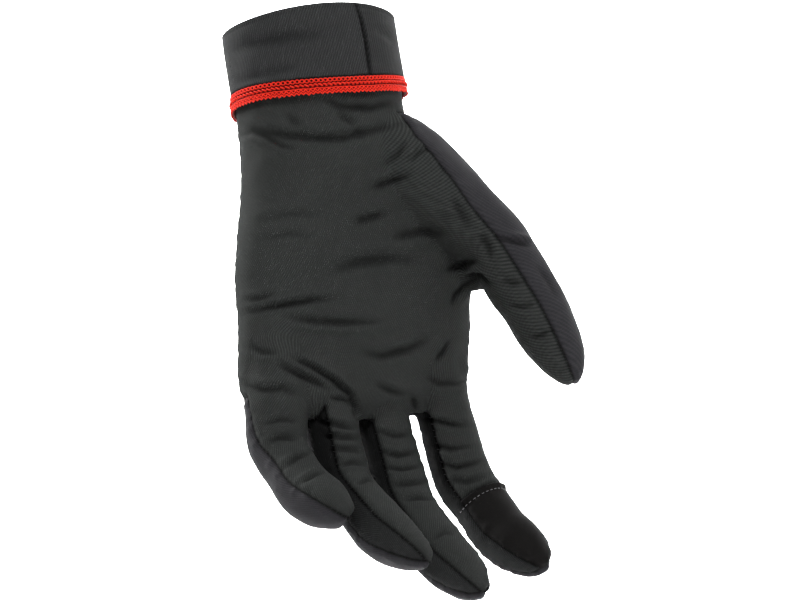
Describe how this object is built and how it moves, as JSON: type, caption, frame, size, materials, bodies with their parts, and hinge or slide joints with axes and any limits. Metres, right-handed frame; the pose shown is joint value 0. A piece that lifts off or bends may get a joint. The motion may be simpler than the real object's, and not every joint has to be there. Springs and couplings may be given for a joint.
{
  "type": "glove liner",
  "caption": "Thin stretch-knit glove liner for the left hand in worn shape, with a folded cuff, a contrast overlocked edge, finger side strips and a touch pad on the index finger.",
  "frame": {"origin": "centre of the cuff opening, where the wrist goes in", "axes": "+Z along the wrist, out of the opening; the fingers hang towards -Z, the palm side faces -Y and the thumb is towards +X"},
  "size_m": [0.1245, 0.0791, 0.2258],
  "materials": {
    "cuff_knit": "matt rib knit",
    "palm_knit": "matt fine knit",
    "back_knit": "smooth fine knit",
    "strip_knit": "matt fine knit",
    "pad": "smooth coated patch",
    "red_thread": "overlock thread"
  },
  "bodies": {
    "root": {"cuff": "cuff_knit", "cuff_overlock": "red_thread", "palm_panel": "palm_knit", "back_panel": "back_knit", "index_touch_pad": "pad", "index_middle_strip": "strip_knit", "middle_ring_strip": "strip_knit", "ring_little_strip": "strip_knit"}
  },
  "joints": []
}
